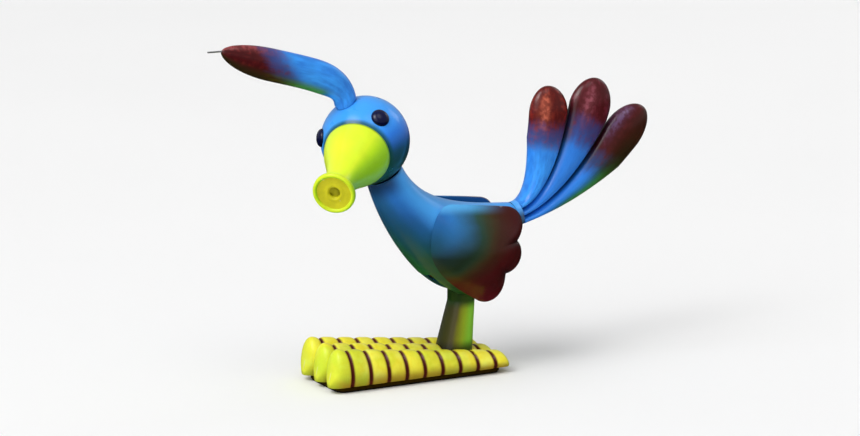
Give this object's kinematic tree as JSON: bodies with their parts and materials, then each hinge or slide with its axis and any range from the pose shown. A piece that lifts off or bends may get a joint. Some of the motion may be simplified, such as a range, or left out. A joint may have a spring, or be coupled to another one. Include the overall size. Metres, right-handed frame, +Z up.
{
  "type": "drinking bird",
  "caption": "Desk toy bird that rocks on an axle in its belly, dipping a trumpet bill towards a cup; its round head also turns on the neck.",
  "frame": {"origin": "on the table under the non-slip pad, straight below the rocking axle", "axes": "the bird faces -Y, its left side is +X, +Z is up"},
  "size_m": [0.0762, 0.2462, 0.1732],
  "materials": {
    "toe_yellow": "airbrushed gloss",
    "leg_green": "airbrushed gloss",
    "steel": "turned and lightly brushed",
    "zinc_plate": "zinc-plated sheet",
    "aluminium_tube": "drawn tube",
    "brass": "turned and cast brass",
    "rubber_pad": "ribbed rubber",
    "nylon": "natural nylon",
    "dark_seat": "dark matte",
    "body_blue": "airbrushed gloss, green towards the keel",
    "wing_paint": "airbrushed gloss, blue to maroon",
    "plume_paint": "airbrushed gloss, blue root and maroon tip",
    "crest_paint": "airbrushed gloss, blue root and maroon tip",
    "head_blue": "airbrushed gloss",
    "bill_yellow": "airbrushed gloss",
    "bill_felt": "ochre felt",
    "eye_navy": "polished"
  },
  "bodies": {
    "stand": {"toe_left": "toe_yellow", "toe_middle": "toe_yellow", "toe_right": "toe_yellow", "base_plate": "zinc_plate", "base_screws": "steel", "non_slip_pad": "rubber_pad", "leg_post": "steel", "leg_sleeve": "leg_green", "leg_bolt": "steel", "pivot_axle": "steel", "axle_washers": "nylon", "axle_clips": "steel"},
    "body": {"body_shell_left": "body_blue", "body_shell_right": "body_blue", "shell_screws": "steel", "pivot_frame": "nylon", "pivot_bush_left": "brass", "pivot_bush_right": "brass", "counterweight": "brass", "weight_screws": "steel", "wing_left": "wing_paint", "wing_right": "wing_paint", "wing_pegs": "nylon", "tail_socket": "body_blue", "tail_screw": "steel", "tail_plume_front": "plume_paint", "tail_plume_middle": "plume_paint", "tail_plume_rear": "plume_paint", "neck_rod": "aluminium_tube", "neck_grub_screw": "steel", "neck_seat": "dark_seat", "neck_stop_pin": "steel", "crest_plume": "crest_paint", "crest_tip_wire": "steel"},
    "head": {"head_shell": "head_blue", "head_bush_lower": "nylon", "head_bush_upper": "nylon", "bill": "bill_yellow", "bill_felt": "bill_felt", "eye_left": "eye_navy", "eye_right": "eye_navy"}
  },
  "joints": [
    {"name": "dip", "type": "hinge", "parent": "stand", "child": "body", "pos_m": [0, 0, 0.072], "axis": [1, 0, 0], "range_deg": [-10, 30]},
    {"name": "head_turn", "type": "hinge", "parent": "body", "child": "head", "pos_m": [0, -0.053, 0.1216], "axis": [0, -0.5, 0.866], "range_deg": [-119, 39]}
  ]
}
